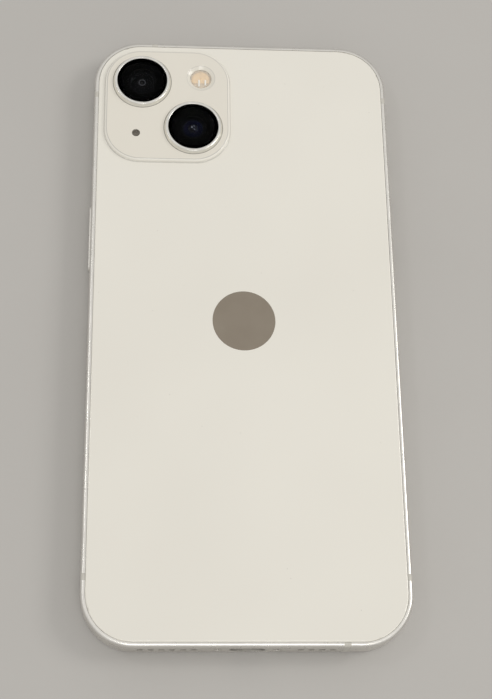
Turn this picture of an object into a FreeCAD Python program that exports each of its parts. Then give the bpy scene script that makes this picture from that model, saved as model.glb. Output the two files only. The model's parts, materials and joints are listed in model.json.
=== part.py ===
import FreeCAD, Part
import math
import os
import re
import Sketcher

# Smartphone lying on its display, as an assembly of its separate pieces.  Millimetres.
# Origin: centre of the display glass's face.  +Y runs to the camera end, +Z out of the rear glass,
# +X to the side that carries the volume buttons.

doc = FreeCAD.newDocument("smartphone")
sheet = doc.addObject("Spreadsheet::Sheet", "Dims")
used_rows = []
nodes = []

# ---------------------------------------------------------------- driving dimensions
DIMENSIONS = {
    # how far a cutting tool reaches past what it cuts, how far two tools overlap, and the least
    # step that keeps two faces apart
    "over": 1.0,
    "lap": 0.1,
    "hair": 0.001,
    # outline of the whole body
    "body_wide": 71.5,
    "body_long": 146.7,
    "body_thick": 7.65,
    "body_corner": 11.4,
    # aluminium frame
    "frame_low": 0.15,
    "frame_high": 7.5,
    "frame_round": 0.7,
    "wall": 2.2,
    "rim": 1.0,
    "front_ledge": 0.8,
    "rear_ledge": 6.85,
    "plate_low": 1.65,
    "plate_thick": 0.4,
    "mid": 3.8,
    # glass and the bonds that hold it
    "glass_gap": 0.05,
    "glass_thick": 0.7,
    "glass_chamfer": 0.35,
    "bond_inset": 0.1,
    "bond_thick": 0.1,
    # plastic breaks in the frame
    "break_wide": 1.5,
    "break_deep": 1.2,
    "break_side_y": 58.6,
    "break_end_x": 21.1,
    # raised camera plateau of the rear glass
    "plateau_x": -17.95,
    "plateau_y": 55.5,
    "plateau_wide": 30.3,
    "plateau_corner": 8.7,
    "plateau_high": 1.0,
    "plateau_crest": 0.65,
    "plateau_foot": 0.3,
    # lens surrounds
    "ring_top": 0.95,
    "ring_foot": 7.1,
    "ring_crown": 6.68,
    "ring_bore": 6.06,
    "ring_neck": 6.5,
    "ring_throat": 5.3,
    "ring_low": 7.1,
    "ring_edge": 0.14,
    "cover_radius": 6.03,
    "cover_low": 8.8,
    "cover_high": 9.46,
    "lens_hole": 6.6,
    # camera modules under the surrounds
    "wide_lens_x": -24.17,
    "wide_lens_y": 61.7,
    "ultra_lens_x": -11.7,
    "ultra_lens_y": 49.3,
    "barrel_low": 3.5,
    "barrel_high": 8.0,
    "bore_low": 2.9,
    "bore_clear": 0.25,
    "wide_barrel": 4.2,
    "ultra_barrel": 4.0,
    "bracket_hole": 4.9,
    # flash and rear microphone
    "flash_x": -9.8,
    "flash_y": 63.1,
    "flash_hole": 2.6,
    "flash_bevel": 0.9,
    "flash_sink": 0.45,
    "flash_window": 2.55,
    "flash_low": 7.85,
    "flash_thick": 0.3,
    "flash_board": 2.4,
    "flash_board_low": 7.2,
    "flash_board_thick": 0.2,
    "emitter_size": 1.5,
    "emitter_thick": 0.25,
    "emitter_apart": 1.05,
    "rear_mic_hole": 0.98,
    "rear_mesh_low": 8.2,
    "mesh_thick": 0.1,
    # round badge let into the rear glass
    "emblem_radius": 7.25,
    "emblem_thick": 0.05,
    # buttons: caps in pockets, stems through the wall
    "cap_proud": 0.45,
    "cap_thick": 1.5,
    "cap_high": 2.8,
    "cap_round": 0.3,
    "pocket_deep": 1.35,
    "pocket_clear": 0.1,
    "stem_radius": 0.55,
    "stem_hole": 0.65,
    "stem_end": 33.25,
    "head_radius": 0.95,
    "head_thick": 0.2,
    "seal_radius": 0.97,
    "seal_bore": 0.62,
    "seal_thick": 0.4,
    "seal_pocket": 0.45,
    "switch_gap": 0.3,
    "switch_thick": 0.5,
    "dome_short": 0.4,
    "dome_corner": 0.3,
    "side_y": 21.5,
    "side_long": 16.6,
    "side_stem": 5.6,
    "up_y": 32.3,
    "down_y": 18.7,
    "volume_long": 10.3,
    "volume_stem": 3.1,
    # ring switch
    "lever_y": 45.0,
    "lever_long": 5.4,
    "lever_high": 2.0,
    "lever_z": 3.55,
    "lever_proud": 0.4,
    "lever_corner": 0.9,
    "lever_thick": 1.6,
    "lever_slot_z": 4.0,
    "lever_slot_high": 3.1,
    "lever_slot_long": 5.7,
    "lever_stem_long": 1.0,
    "lever_stem_high": 0.9,
    "lever_stem_end": 32.2,
    "lever_way_long": 1.3,
    "lever_way_high": 2.1,
    # tray for the subscriber card
    "tray_y": -9.8,
    "tray_face_long": 15.5,
    "tray_face_high": 2.0,
    "tray_face_thick": 1.2,
    "tray_clear": 0.1,
    "tray_body_y": -8.4,
    "tray_body_long": 11.0,
    "tray_body_end": 20.6,
    "tray_body_thick": 0.8,
    "card_long": 12.4,
    "card_wide": 8.9,
    "card_x": 27.6,
    "pin_y": -15.9,
    "pin_hole": 0.45,
    "rod_radius": 0.42,
    "rod_start": 19.2,
    "rod_end": 33.1,
    "rod_way": 0.6,
    "tray_seal_x": 33.9,
    "tray_seal_deep": 0.4,
    "tray_seal_thick": 0.08,
    "ejector_x": 18.4,
    "ejector_y": -10.7,
    "ejector_wide": 1.0,
    "ejector_long": 11.6,
    "ejector_thick": 0.6,
    "pivot_radius": 0.4,
    "pivot_clear": 0.05,
    # bottom end: charging socket, screws and sound holes
    "socket_wide": 7.7,
    "socket_high": 2.5,
    "shell_wide": 8.6,
    "shell_high": 3.0,
    "shell_deep": 6.9,
    "shell_back": 0.7,
    "shell_skin": 0.55,
    "contact_wide": 0.35,
    "contact_long": 2.4,
    "contact_high": 0.22,
    "contact_step": 0.67,
    "screw_x": 6.37,
    "screw_head": 0.9,
    "screw_head_thick": 0.9,
    "screw_shank": 0.5,
    "screw_long": 3.5,
    "screw_inset": 0.08,
    "screw_clear": 0.06,
    "screw_socket": 0.42,
    "screw_socket_deep": 0.45,
    "sound_hole": 0.68,
    "sound_first": 11.4,
    "sound_step": 2.3,
    # board screws
    "board_screw_head": 0.9,
    "board_screw_shank": 0.5,
    "board_screw_thick": 0.4,
    # display
    "panel_margin": 3.15,
    "panel_thick": 0.6,
    "back_plate_thick": 0.2,
    "bezel_margin": 2.3,
    "notch_wide": 26.8,
    "notch_y": 64.9,
    "notch_deep": 6.3,
    "ear_y": 70.3,
    "ear_long": 9.0,
    "ear_high": 0.9,
    "front_lens_x": 9.5,
    "front_lens_y": 68.0,
    "front_lens_radius": 1.5,
    "front_lens_low": 0.72,
    # wireless charging
    "coil_outer": 22.0,
    "coil_inner": 10.0,
    "coil_low": 6.25,
    "coil_thick": 0.35,
    "shield_outer": 22.5,
    "shield_low": 6.05,
    "shield_thick": 0.18,
    "magnet_outer": 28.0,
    "magnet_inner": 23.2,
    "magnet_low": 6.1,
    "magnet_thick": 0.6,
    "magnet_gap": 2.5,
    "window_radius": 28.4,
    "rear_plate_low": 6.6,
    "rear_plate_thick": 0.25,
    "rear_plate_gap": 0.2,
    # thin walls of the hollow pieces
    "can_skin": 0.15,
    "haptic_skin": 0.4,
    "haptic_floor": 0.4,
}

# Rounded blocks: centre x, centre y, underside z, width x, length y, thickness z, corner radius.
BLOCKS = {
    "battery": (-11.8, -8.5, 2.3, 41.0, 93.0, 3.7, 2.0),
    "left_strip": (-23.0, -8.5, 2.1, 11.0, 86.0, 0.15, 1.0),
    "right_strip": (-0.6, -8.5, 2.1, 11.0, 86.0, 0.15, 1.0),
    "battery_lead": (11.35, 31.5, 3.05, 5.3, 1.6, 0.2, 0.3),
    "board": (20.8, 16.0, 2.3, 19.2, 88.0, 0.7, 1.0),
    "main_can": (20.75, 16.5, 3.0, 17.5, 27.0, 1.6, 0.6),
    "radio_can": (20.75, 45.5, 3.0, 17.5, 25.0, 1.6, 0.6),
    "power_can": (20.75, -23.2, 3.0, 17.5, 7.0, 1.6, 0.6),
    "main_chip": (20.75, 16.5, 3.0, 12.0, 14.0, 1.1, 0.2),
    "radio_chip": (20.75, 45.5, 3.0, 11.0, 11.0, 1.1, 0.2),
    "power_chip": (20.75, -23.2, 3.0, 9.0, 5.0, 1.0, 0.2),
    "reader": (24.3, -9.75, 3.0, 17.4, 15.1, 1.7, 0.3),
    "reader_space": (24.6, -9.75, 3.25, 17.3, 14.5, 1.15, 0.3),
    "reader_window": (26.5, -8.4, 4.3, 9.0, 7.0, 0.6, 0.5),
    "wide_housing": (-24.17, 61.7, 2.2, 12.4, 12.4, 4.3, 1.5),
    "ultra_housing": (-11.7, 49.3, 2.2, 11.4, 11.4, 4.3, 1.5),
    "wide_sensor": (-24.17, 61.7, 2.9, 7.0, 5.2, 0.4, 0.1),
    "ultra_sensor": (-11.7, 49.3, 2.9, 6.2, 4.6, 0.4, 0.1),
    "bracket": (-17.95, 55.5, 6.55, 27.6, 27.8, 0.25, 7.2),
    "camera_window": (-17.95, 55.5, 6.4, 28.4, 28.6, 0.7, 7.6),
    "rear_mic": (-25.5, 47.6, 5.3, 3.5, 2.6, 1.1, 0.2),
    "front_camera_box": (9.5, 68.0, 1.6, 5.0, 5.0, 2.4, 0.4),
    "face_sensors": (-3.5, 67.6, 0.9, 15.0, 4.6, 2.6, 0.6),
    "sensor_way": (0.0, 67.7, 1.2, 26.0, 6.4, 1.2, 0.8),
    "ear_speaker": (3.0, 60.5, 2.2, 14.0, 6.0, 2.6, 1.0),
    "loudspeaker": (-19.25, -63.3, 2.4, 19.5, 11.0, 3.8, 2.0),
    "haptic_case": (17.5, -64.2, 2.4, 16.0, 8.6, 3.6, 0.8),
    "haptic_weight": (17.5, -64.2, 3.0, 13.4, 7.0, 2.6, 0.6),
    "haptic_lid": (17.5, -64.2, 6.0, 16.0, 8.6, 0.2, 0.8),
    "low_mic": (14.5, -69.9, 3.0, 4.0, 1.6, 1.6, 0.2),
    "speaker_mesh": (-17.15, -71.03, 2.9, 14.0, 0.2, 1.8, 0.08),
    "mic_mesh": (14.85, -71.03, 2.9, 9.0, 0.2, 1.8, 0.08),
    "switch_box": (32.0, 45.0, 2.35, 2.6, 5.6, 3.3, 0.3),
    "socket_lead": (-0.5, -61.6, 2.1, 19.0, 4.6, 0.15, 0.5),
    "socket_lead_arm": (10.4, -46.0, 2.1, 2.8, 35.8, 0.15, 0.5),
    "display_lead_foot": (20.8, -36.3, 1.5, 12.0, 8.0, 0.12, 0.5),
    "display_lead_web": (20.8, -32.4, 1.5, 12.0, 0.3, 1.7, 0.1),
    "display_lead_end": (20.8, -29.8, 3.05, 12.0, 5.5, 0.15, 0.1),
    "display_lead_way": (20.8, -32.4, 1.6, 12.8, 1.2, 0.6, 0.3),
    "align_magnet": (0.0, -39.0, 6.05, 5.0, 18.0, 0.5, 0.5),
}
BLOCK_ENDS = ("x", "y", "low", "wide", "long", "thick", "corner")

BOARD_SCREWS = ((12.4, 59.0), (29.2, 59.0), (29.2, 31.5), (12.4, 0.8))
SPEAKER_HOLES = 6
MICROPHONE_HOLES = 4
CONTACTS = 8
STADIUM = "0.49"     # end radius of a slot, as a share of its height
CLOSE = 1e-4         # how near two heights are when they are the same

WORD = re.compile(r"\b[a-z][a-z0-9_]*")


def store(name, value):
    """One named number in the sheet."""
    used_rows.append(name)
    row = len(used_rows)
    sheet.set(f"A{row}", name)
    sheet.set(f"B{row}", str(value))
    sheet.setAlias(f"B{row}", name)


def cells(text):
    """The same expression with each bare name pointed at the sheet."""
    return WORD.sub(lambda word: "Dims." + word.group(), text)


def value(text):
    return float(sheet.evalExpression(cells(text)))


def bind(thing, sizes):
    """Bind properties of a document object to expressions of the sheet."""
    for path, text in sizes.items():
        thing.setExpression(path, cells(text))
    return thing


def keep(thing, label):
    """Mark a finished sub-part: its label names its file."""
    thing.Label = label
    nodes.append(thing)
    return thing


# ---------------------------------------------------------------- building blocks
def draw_rounded(sketch, u, v, wide, high, corner):
    """Rounded rectangle, fully constrained, centred on (u, v) of the sketch."""
    half_u = value(wide) / 2
    half_v = value(high) / 2
    bend = value(corner)
    mid_u = value(u)
    mid_v = value(v)
    inner_u = half_u - bend
    inner_v = half_v - bend
    turns = ((inner_u, -inner_v), (inner_u, inner_v), (-inner_u, inner_v), (-inner_u, -inner_v))
    starts = ((-inner_u, -half_v), (half_u, -inner_v), (inner_u, half_v), (-half_u, inner_v))
    ends = ((inner_u, -half_v), (half_u, inner_v), (-inner_u, half_v), (-half_u, -inner_v))
    up = FreeCAD.Vector(0, 0, 1)
    quarter = math.pi / 2
    for side in range(4):
        start = FreeCAD.Vector(mid_u + starts[side][0], mid_v + starts[side][1], 0)
        end = FreeCAD.Vector(mid_u + ends[side][0], mid_v + ends[side][1], 0)
        sketch.addGeometry(Part.LineSegment(start, end))
        turn = FreeCAD.Vector(mid_u + turns[side][0], mid_v + turns[side][1], 0)
        circle = Part.Circle(turn, up, bend)
        sketch.addGeometry(Part.ArcOfCircle(circle, (side - 1) * quarter, side * quarter))
    for piece in range(8):
        sketch.addConstraint(Sketcher.Constraint("Tangent", piece, 2, (piece + 1) % 8, 1))
    for line in (0, 4):
        sketch.addConstraint(Sketcher.Constraint("Horizontal", line))
        sketch.addConstraint(Sketcher.Constraint("Vertical", line + 2))
    for arc in (3, 5, 7):
        sketch.addConstraint(Sketcher.Constraint("Equal", 1, arc))
    held = (
        ("Radius", (1, bend), corner),
        ("DistanceY", (-1, 1, 0, 1, mid_v - half_v), f"({v}) - ({high}) / 2"),
        ("DistanceX", (-1, 1, 2, 1, mid_u + half_u), f"({u}) + ({wide}) / 2"),
        ("DistanceY", (-1, 1, 4, 1, mid_v + half_v), f"({v}) + ({high}) / 2"),
        ("DistanceX", (-1, 1, 6, 1, mid_u - half_u), f"({u}) - ({wide}) / 2"),
    )
    for kind, where, text in held:
        index = sketch.addConstraint(Sketcher.Constraint(kind, *where))
        sketch.setExpression(f"Constraints[{index}]", cells(text))


def add_sketch(body, name, plane, start):
    """Empty sketch on one of the body's own planes, lifted along its normal."""
    base = next(item for item in body.Origin.OriginFeatures if item.Role == plane)
    sketch = body.newObject("Sketcher::SketchObject", name)
    sketch.AttachmentSupport = [(base, "")]
    sketch.MapMode = "FlatFace"
    bind(sketch, {"AttachmentOffset.Base.z": start})
    return sketch


def rounded(name, plane, centre, face, corner, start, depth):
    """Body padded from a rounded rectangle.  The XZ plane's normal is -Y, so its start is minus Y."""
    body = doc.addObject("PartDesign::Body", name)
    sketch = add_sketch(body, name + "_outline", plane, start)
    draw_rounded(sketch, centre[0], centre[1], face[0], face[1], corner)
    pad = body.newObject("PartDesign::Pad", name + "_pad")
    pad.Profile = sketch
    bind(pad, {"Length": depth})
    return body


def plate(name, wide, long, corner, low, thick, at=("0", "0")):
    """Rounded plate lying in the plane of the display."""
    return rounded(name, "XY_Plane", at, (wide, long), corner, low, thick)


def block(name):
    """Rounded block from the table above."""
    x, y, low, wide, long, thick, corner = (f"{name}_{end}" for end in BLOCK_ENDS)
    return plate(name + "_block", wide, long, corner, low, thick, (x, y))


def cylinder(name, at, radius, length, axis="z"):
    """Round bar from a point along +X, +Y or +Z."""
    turns = {
        "x": FreeCAD.Rotation(FreeCAD.Vector(0, 1, 0), 90),
        "y": FreeCAD.Rotation(FreeCAD.Vector(1, 0, 0), -90),
        "z": FreeCAD.Rotation(),
    }
    bar = doc.addObject("Part::Cylinder", name)
    bar.Placement = FreeCAD.Placement(FreeCAD.Vector(), turns[axis])
    place = {"Placement.Base.x": at[0], "Placement.Base.y": at[1], "Placement.Base.z": at[2]}
    return bind(bar, {"Radius": radius, "Height": length, **place})


def box(name, at, wide, long, thick):
    """Plain box centred on x and y, standing on z."""
    brick = doc.addObject("Part::Box", name)
    place = {
        "Placement.Base.x": f"({at[0]}) - ({wide}) / 2",
        "Placement.Base.y": f"({at[1]}) - ({long}) / 2",
        "Placement.Base.z": at[2],
    }
    return bind(brick, {"Length": wide, "Width": long, "Height": thick, **place})


def join(name, pieces):
    fused = doc.addObject("Part::MultiFuse", name)
    fused.Shapes = pieces
    fused.Refine = True
    return fused


def cut(name, base, tools):
    tool = tools[0] if len(tools) == 1 else join(name + "_tools", tools)
    result = doc.addObject("Part::Cut", name)
    result.Base = base
    result.Tool = tool
    result.Refine = True
    return result


def common(name, base, tool):
    result = doc.addObject("Part::Common", name)
    result.Base = base
    result.Tool = tool
    return result


def group(name, pieces):
    """Several separate solids that share one node."""
    bundle = doc.addObject("Part::Compound", name)
    bundle.Links = pieces
    return bundle


def frame_plate(name, margin, low, thick):
    """Plate that follows the body's outline, set in from it by a margin."""
    return plate(name, f"body_wide - 2 * ({margin})", f"body_long - 2 * ({margin})",
                 f"body_corner - ({margin})", low, thick)


def round_edges(body, feature, radius, wanted):
    """Fillet inside a body, on the edges that a test picks."""
    doc.recompute()
    names = [f"Edge{i}" for i, edge in enumerate(feature.Shape.Edges, 1) if wanted(edge.BoundBox)]
    fillet = body.newObject("PartDesign::Fillet", body.Name + "_round")
    fillet.Base = (feature, names)
    return bind(fillet, {"Radius": radius})


def fillet(name, base, radius, wanted):
    """Fillet of a finished solid, on the edges that a test picks."""
    doc.recompute()
    size = value(radius)
    result = doc.addObject("Part::Fillet", name)
    result.Base = base
    result.Edges = [(i, size, size) for i, edge in enumerate(base.Shape.Edges, 1) if wanted(edge.BoundBox)]
    return result


def flat_at(level):
    """Test for edges that lie in the plane z = level."""
    height = value(level)
    return lambda span: abs(span.ZMin - height) < CLOSE and abs(span.ZMax - height) < CLOSE


# ---------------------------------------------------------------- the aluminium frame and its breaks
def wall_slot(name, side, centre, face, start, depth):
    """Slot or cap with rounded ends in a long side wall; side is "" for +X or "-" for -X."""
    low = start if side == "" else f"-({start}) - ({depth})"
    return rounded(name, "YZ_Plane", centre, face, f"{STADIUM} * ({face[1]})", low, depth)


def button_openings(name, side, y, long, stem):
    """Pocket for a button's cap, holes for its stems and recesses for their seals."""
    face = (f"{long} + 2 * pocket_clear", "cap_high + 2 * pocket_clear")
    floor = "body_wide / 2 - pocket_deep"
    tools = [wall_slot(name + "_pocket", side, (y, "mid"), face, floor, "pocket_deep + over")]
    inner = "body_wide / 2 - wall"
    for end in ("-", "+"):
        at_y = f"{y} {end} {stem}"
        start = f"{inner} - over" if side == "" else f"-({inner}) - wall"
        tools.append(cylinder(name + "_way", (start, at_y, "mid"), "stem_hole", "wall + over", "x"))
        start = f"{inner} - over" if side == "" else f"-({inner}) - seal_pocket"
        spot = (start, at_y, "mid")
        tools.append(cylinder(name + "_seat", spot, "head_radius + pocket_clear", "seal_pocket + over", "x"))
    return tools


def switch_openings():
    """Slot for the ring switch's lever, and the narrower way for its stem."""
    face = ("lever_slot_long", "lever_slot_high")
    floor = "body_wide / 2 - pocket_deep"
    slot = rounded("lever_slot", "YZ_Plane", ("lever_y", "lever_slot_z"), face, "lever_corner", floor,
                   "pocket_deep + over")
    way = box("lever_way", ("body_wide / 2 - wall", "lever_y", "lever_slot_z - lever_way_high / 2"),
              "2 * wall", "lever_way_long", "lever_way_high")
    return [slot, way]


def tray_openings():
    """Recess for the tray's face, the way for its body and the hole for the eject pin."""
    face = ("tray_face_long + 2 * tray_clear", "tray_face_high + 2 * tray_clear")
    floor = "body_wide / 2 - tray_face_thick - tray_clear"
    recess = wall_slot("tray_recess", "", ("tray_y", "mid"), face, floor, "tray_face_thick + over")
    way = box("tray_way", ("body_wide / 2 - wall", "tray_body_y", "mid - tray_body_thick / 2 - tray_clear"),
              "2 * wall", "tray_body_long + 2 * tray_clear", "tray_body_thick + 2 * tray_clear")
    pin = cylinder("tray_pin_way", ("body_wide / 2 - wall - over", "pin_y", "mid"), "rod_way", "wall", "x")
    return [recess, way, pin]


def end_slot(name, face, start, depth):
    """Rounded slot or bar along +Y, centred on the middle of the bottom end."""
    low = f"-({start}) - ({depth})"
    return rounded(name, "XZ_Plane", ("0", "mid"), face, f"{STADIUM} * ({face[1]})", low, depth)


def bottom_openings():
    """Charging socket, two screws, and the rows of sound holes in the bottom end."""
    end = "-body_long / 2"
    tools = [end_slot("socket_way", ("socket_wide", "socket_high"), f"{end} - over", "wall + 2 * over")]
    for side in ("-", ""):
        at = (f"{side}screw_x", f"{end} - over", "mid")
        head = "screw_inset + screw_head_thick + screw_clear + over"
        tools.append(cylinder("screw_seat", at, "screw_head + screw_clear", head, "y"))
        tools.append(cylinder("screw_way", at, "screw_shank + screw_clear", "wall + 2 * over", "y"))
    for side, count in (("-", SPEAKER_HOLES), ("", MICROPHONE_HOLES)):
        for hole in range(count):
            at = (f"{side}(sound_first + {hole} * sound_step)", f"{end} - over", "mid")
            tools.append(cylinder("sound_way", at, "sound_hole", "wall + 2 * over", "y"))
    return tools


def make_frame():
    """Band round the whole body with a thin plate across it, and the plastic breaks let into it."""
    height = "frame_high - frame_low"
    blank = plate("band", "body_wide", "body_long", "body_corner", "frame_low", height)
    faces = (flat_at("frame_low"), flat_at("frame_high"))
    round_edges(blank, blank.Tip, "frame_round", lambda span: any(test(span) for test in faces))
    under = "plate_low - front_ledge"
    plate_top = "plate_low + plate_thick"
    hollows = [
        frame_plate("front_recess", "rim", "frame_low - over", "front_ledge - frame_low + over"),
        frame_plate("rear_recess", "rim", "rear_ledge", "frame_high - rear_ledge + over"),
        frame_plate("front_hollow", "wall", "front_ledge - lap", f"{under} + lap"),
        frame_plate("rear_hollow", "wall", plate_top, f"rear_ledge - ({plate_top}) + lap"),
    ]
    shell = cut("band_shell", blank, hollows)
    spans = []
    edge_x = "body_wide / 2 - break_deep / 2"
    edge_y = "body_long / 2 - break_deep / 2"
    for side in ("-", ""):
        for end in ("-", ""):
            at = (f"{side}({edge_x})", f"{end}break_side_y", "0")
            spans.append(box("side_break", at, "break_deep", "break_wide", "body_thick"))
    for turn, back in (("-", ""), ("", "-")):
        at = (f"{turn}break_end_x", f"{back}({edge_y})", "0")
        spans.append(box("end_break", at, "break_wide", "break_deep", "body_thick"))
    gaps = group("break_gaps", spans)
    keep(common("break_inserts", shell, gaps), "antenna_breaks")
    openings = button_openings("side", "-", "side_y", "side_long", "side_stem")
    openings += button_openings("up", "", "up_y", "volume_long", "volume_stem")
    openings += button_openings("down", "", "down_y", "volume_long", "volume_stem")
    openings += switch_openings() + tray_openings() + bottom_openings()
    openings += [block("sensor_way"), block("display_lead_way")]
    openings += spans
    keep(cut("frame_body", shell, openings), "mid_frame")


# ---------------------------------------------------------------- glass and bonds
def make_front():
    """Cover glass, its bond and the display behind it."""
    glass = frame_plate("front_pane", "rim + glass_gap", "0", "glass_thick")
    round_edges(glass, glass.Tip, "glass_chamfer", flat_at("0"))
    slot = rounded("ear_slot", "XY_Plane", ("0", "ear_y"), ("ear_long", "ear_high"),
                   f"{STADIUM} * ear_high", "-over", "glass_thick + 2 * over")
    keep(cut("front_pane_cut", glass, [slot]), "front_glass")
    mesh = rounded("ear_grille", "XY_Plane", ("0", "ear_y"), ("ear_long", "ear_high"),
                   f"{STADIUM} * ear_high", "glass_thick - 3 * mesh_thick", "mesh_thick")
    keep(mesh, "earpiece_mesh")
    outer = frame_plate("bond_outer", "rim + bond_inset", "glass_thick", "bond_thick")
    inner = frame_plate("bond_inner", "wall - bond_inset / 2", "glass_thick - over", "bond_thick + 2 * over")
    keep(cut("front_bond", outer, [inner]), "display_gasket")
    notch_at = ("0", "notch_y + notch_deep / 2", "glass_thick - over")
    notch = box("notch", notch_at, "notch_wide", "notch_deep", "4 * glass_thick")
    panel = frame_plate("panel", "panel_margin", "glass_thick", "panel_thick")
    keep(cut("panel_cut", panel, [notch]), "display_panel")
    back = frame_plate("back_sheet", "panel_margin", "glass_thick + panel_thick", "back_plate_thick")
    keep(cut("back_sheet_cut", back, [notch]), "display_back_plate")
    high = "panel_thick + back_plate_thick"
    ring = frame_plate("bezel_outer", "bezel_margin", "glass_thick", high)
    space = frame_plate("bezel_inner", "panel_margin", "glass_thick - over", f"{high} + 2 * over")
    keep(cut("bezel", ring, [space, notch]), "display_frame")
    foot = block("display_lead_foot")
    lead = join("display_lead", [foot, block("display_lead_web"), block("display_lead_end")])
    keep(lead, "display_flex")
    lens_at = ("front_lens_x", "front_lens_y", "front_lens_low")
    lens = cylinder("front_lens", lens_at, "front_lens_radius", "front_camera_box_low - front_lens_low")
    keep(join("front_camera_body", [lens, block("front_camera_box")]), "front_camera")
    keep(block("face_sensors"), "face_sensor_module")
    keep(block("ear_speaker"), "earpiece_speaker")


def make_rear_glass():
    """Rear pane with its raised camera plateau, in one piece of glass."""
    low = "body_thick - glass_thick"
    pane = frame_plate("rear_pane", "rim + glass_gap", low, "glass_thick")
    round_edges(pane, pane.Tip, "glass_chamfer", flat_at("body_thick"))
    # The pane's top is raised inside the plateau by a block whose crest is rounded off.
    centre = ("plateau_x", "plateau_y")
    raised = plate("plateau", "plateau_wide", "plateau_wide", "plateau_corner", low,
                   "glass_thick + plateau_high", centre)
    top = "body_thick + plateau_high"
    round_edges(raised, raised.Tip, "plateau_crest", flat_at(top))
    whole = join("rear_pane_whole", [pane, raised])
    level = flat_at("body_thick")
    left = value("plateau_x - plateau_wide / 2 - lap")
    right = value("plateau_x + plateau_wide / 2 + lap")
    bottom = value("plateau_y - plateau_wide / 2 - lap")
    blended = fillet("rear_pane_foot", whole, "plateau_foot", lambda span: (
        level(span) and span.XMin > left and span.XMax < right and span.YMin > bottom))
    tools = []
    deep = "glass_thick + plateau_high + 2 * over"
    start = f"{low} - over"
    for lens in ("wide_lens", "ultra_lens"):
        tools.append(cylinder("lens_way", (f"{lens}_x", f"{lens}_y", start), "lens_hole", deep))
    tools.append(cylinder("flash_way", ("flash_x", "flash_y", start), "flash_hole", deep))
    bevel = doc.addObject("Part::Cone", "flash_bevel_cone")
    bind(bevel, {
        "Placement.Base.x": "flash_x",
        "Placement.Base.y": "flash_y",
        "Placement.Base.z": f"{top} - flash_sink",
        "Radius1": "flash_hole - hair",
        "Radius2": "flash_hole + 2 * flash_bevel",
        "Height": "2 * flash_sink",
    })
    tools.append(bevel)
    tools.append(cylinder("mic_way", ("rear_mic_x", "rear_mic_y", start), "rear_mic_hole", deep))
    seat = ("0", "0", "body_thick - emblem_thick")
    tools.append(cylinder("emblem_seat", seat, "emblem_radius", "over"))
    keep(cut("rear_pane_cut", blended, tools), "rear_glass")
    keep(cylinder("emblem", seat, "emblem_radius", "emblem_thick"), "rear_emblem")
    outer = frame_plate("rear_bond_outer", "rim + bond_inset", "rear_ledge", "bond_thick")
    inner = frame_plate("rear_bond_inner", "wall - bond_inset / 2", "rear_ledge - over",
                        "bond_thick + 2 * over")
    keep(cut("rear_bond", outer, [inner]), "rear_glass_adhesive")
    sheet_body = frame_plate("rear_sheet", "wall + rear_plate_gap", "rear_plate_low", "rear_plate_thick")
    window = cylinder("coil_window", ("0", "0", "rear_plate_low - over"), "window_radius", "3 * over")
    keep(cut("rear_sheet_cut", sheet_body, [window, block("camera_window")]), "rear_inner_plate")


# ---------------------------------------------------------------- cameras, flash and rear microphone
def make_lens(node, lens, barrel):
    """Surround, cover, housing and barrel of one camera; gives back its image sensor."""
    x = f"{lens}_lens_x"
    y = f"{lens}_lens_y"
    top = "body_thick + plateau_high"
    crown = doc.addObject("Part::Cone", node + "_crown")
    bind(crown, {
        "Placement.Base.x": x,
        "Placement.Base.y": y,
        "Placement.Base.z": top,
        "Radius1": "ring_foot",
        "Radius2": "ring_crown",
        "Height": "ring_top",
    })
    neck = cylinder(node + "_neck", (x, y, "ring_low"), "ring_neck", f"{top} - ring_low + ring_top / 2")
    solid = join(node + "_blank", [crown, neck])
    bore = cylinder(node + "_bore", (x, y, "cover_low"), "ring_bore", "ring_top + over")
    throat = cylinder(node + "_throat", (x, y, "ring_low - over"), "ring_throat", "5 * over")
    sharp = cut(node + "_sharp", solid, [bore, throat])
    keep(fillet(node + "_round", sharp, "ring_edge", flat_at(f"{top} + ring_top")), f"{node}_ring")
    cover = cylinder(node + "_pane", (x, y, "cover_low"), "cover_radius", "cover_high - cover_low")
    keep(cover, f"{node}_cover")
    housing = block(f"{lens}_housing")
    well = cylinder(node + "_well", (x, y, "bore_low"), f"{barrel} + bore_clear", "6 * over")
    keep(cut(node + "_case", housing, [well]), f"{node}_housing")
    tube = cylinder(node + "_tube", (x, y, "barrel_low"), barrel, "barrel_high - barrel_low")
    keep(tube, f"{node}_barrel")
    return block(f"{lens}_sensor")


def make_flash():
    """Flash window, its board with two emitters, the bracket and the rear microphone's mesh."""
    x = "flash_x"
    y = "flash_y"
    window = cylinder("flash_pane", (x, y, "flash_low"), "flash_window", "flash_thick")
    keep(window, "flash_window")
    board = cylinder("flash_disc", (x, y, "flash_board_low"), "flash_board", "flash_board_thick")
    on_board = "flash_board_low + flash_board_thick"
    emitters = []
    for side in ("-", "+"):
        at = (f"{x} {side} emitter_apart", y, on_board)
        emitters.append(box("emitter", at, "emitter_size", "emitter_size", "emitter_thick"))
    keep(join("flash_unit", [board] + emitters), "flash_led")
    low = "bracket_low - over"
    holes = []
    for lens in ("wide_lens", "ultra_lens"):
        holes.append(cylinder("bracket_way", (f"{lens}_x", f"{lens}_y", low), "bracket_hole", "3 * over"))
    holes.append(cylinder("bracket_flash", (x, y, low), "flash_board", "3 * over"))
    holes.append(cylinder("bracket_mic", ("rear_mic_x", "rear_mic_y", low), "rear_mic_hole", "3 * over"))
    keep(cut("bracket_cut", block("bracket"), holes), "camera_bracket")
    mesh_at = ("rear_mic_x", "rear_mic_y", "rear_mesh_low")
    keep(cylinder("rear_mesh", mesh_at, "rear_mic_hole", "mesh_thick"), "rear_microphone_mesh")


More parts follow.
